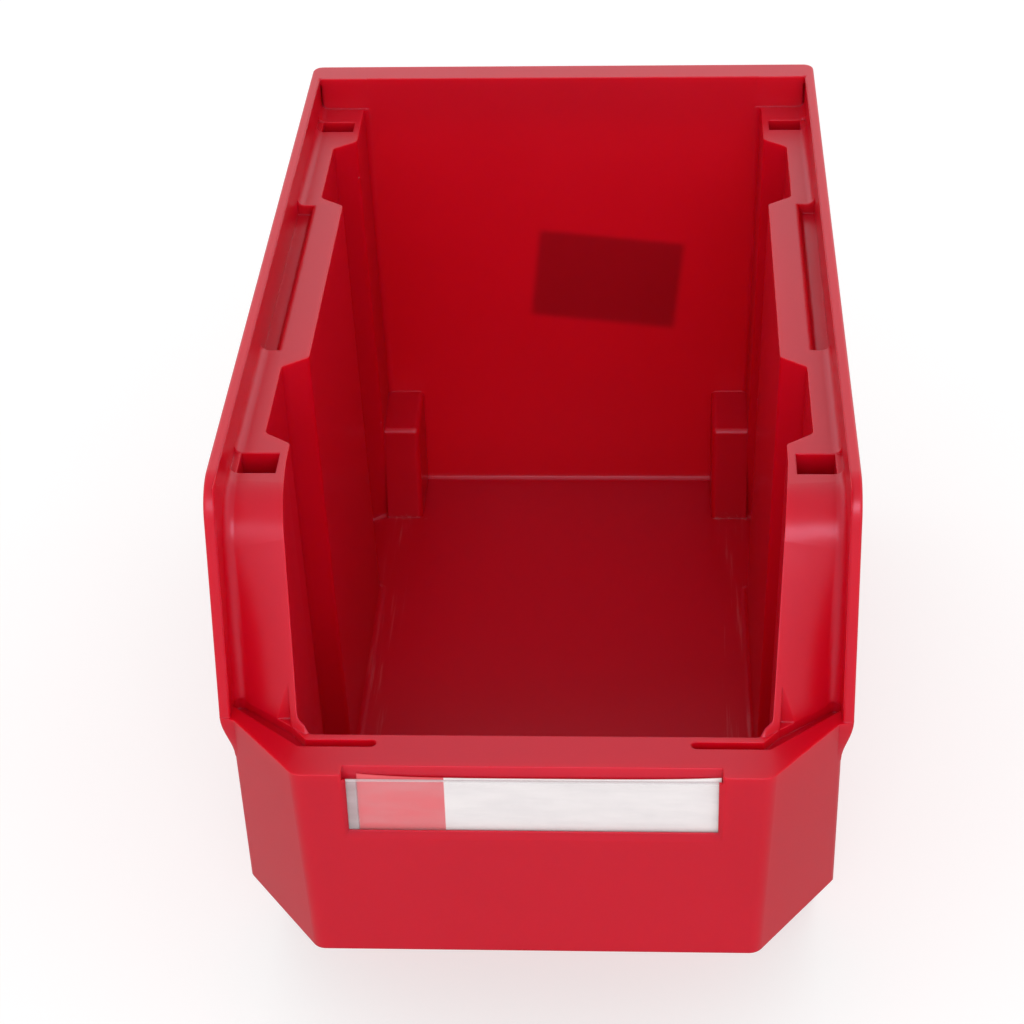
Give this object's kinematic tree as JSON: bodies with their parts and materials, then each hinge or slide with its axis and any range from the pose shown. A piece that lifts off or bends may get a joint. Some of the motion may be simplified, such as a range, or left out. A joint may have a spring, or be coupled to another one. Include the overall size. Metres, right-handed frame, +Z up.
{
  "type": "stackable storage bin",
  "caption": "Open-front plastic storage bin with stacking ledges, post sockets and a front label pocket with a clear slide-out cover.",
  "frame": {"origin": "middle of the bounding box's underside, on the surface the bin stands on", "axes": "+X to the right seen from the open front, +Y from the open front to the back wall along the bin's length, +Z up"},
  "size_m": [0.2, 0.35, 0.2],
  "materials": {
    "bin_plastic": "satin moulded red polypropylene, slightly translucent",
    "clear_cover": "clear polished plastic strip",
    "card": "white card with a plain red block printed at its left end",
    "sticker": "blank self-adhesive paper label"
  },
  "bodies": {
    "bin": {"bin_body": "bin_plastic", "rear_sticker": "sticker"},
    "label_cover": {"label_cover": "clear_cover"},
    "label_card": {"label_card": "card"}
  },
  "joints": [
    {"name": "label_cover_slide", "type": "slide", "parent": "bin", "child": "label_cover", "axis": [0, 0, 1], "range_m": [0, 0.024]},
    {"name": "label_card_slide", "type": "slide", "parent": "bin", "child": "label_card", "axis": [0, 0, 1], "range_m": [0, 0.025]}
  ]
}
